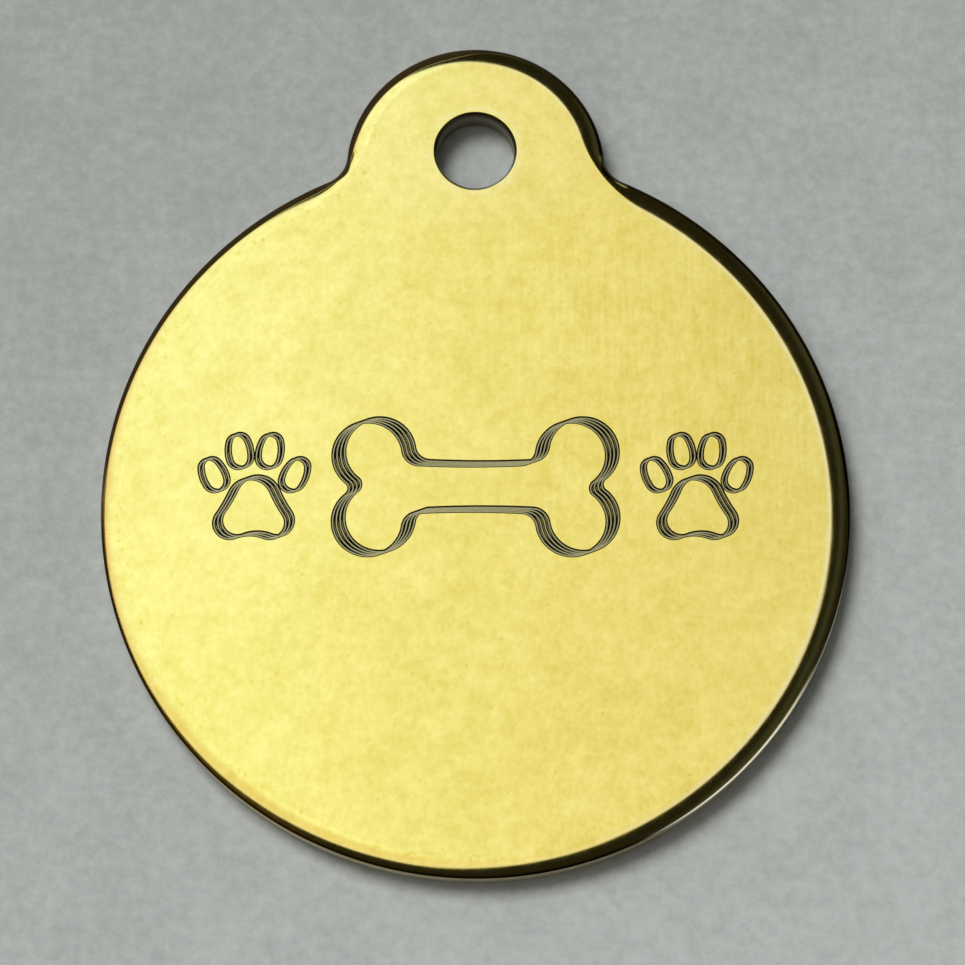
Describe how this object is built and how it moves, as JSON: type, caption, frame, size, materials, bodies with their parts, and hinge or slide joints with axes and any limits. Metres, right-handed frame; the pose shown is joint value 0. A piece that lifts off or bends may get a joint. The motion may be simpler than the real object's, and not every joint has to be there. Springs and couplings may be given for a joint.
{
  "type": "pet id tag",
  "caption": "Round stamped brass pet identification tag with a rounded hanging tab, a punched hole for a split ring and rolled edges.",
  "frame": {"origin": "centre of the round disc on the flat back face", "axes": "+Z out of the front face, +Y from the disc's centre through the hanging tab, +X to the right seen from the front"},
  "size_m": [0.032, 0.0368, 0.0015],
  "materials": {
    "polished_brass": "polished"
  },
  "bodies": {
    "root": {"tag_blank": "polished_brass"}
  },
  "joints": []
}
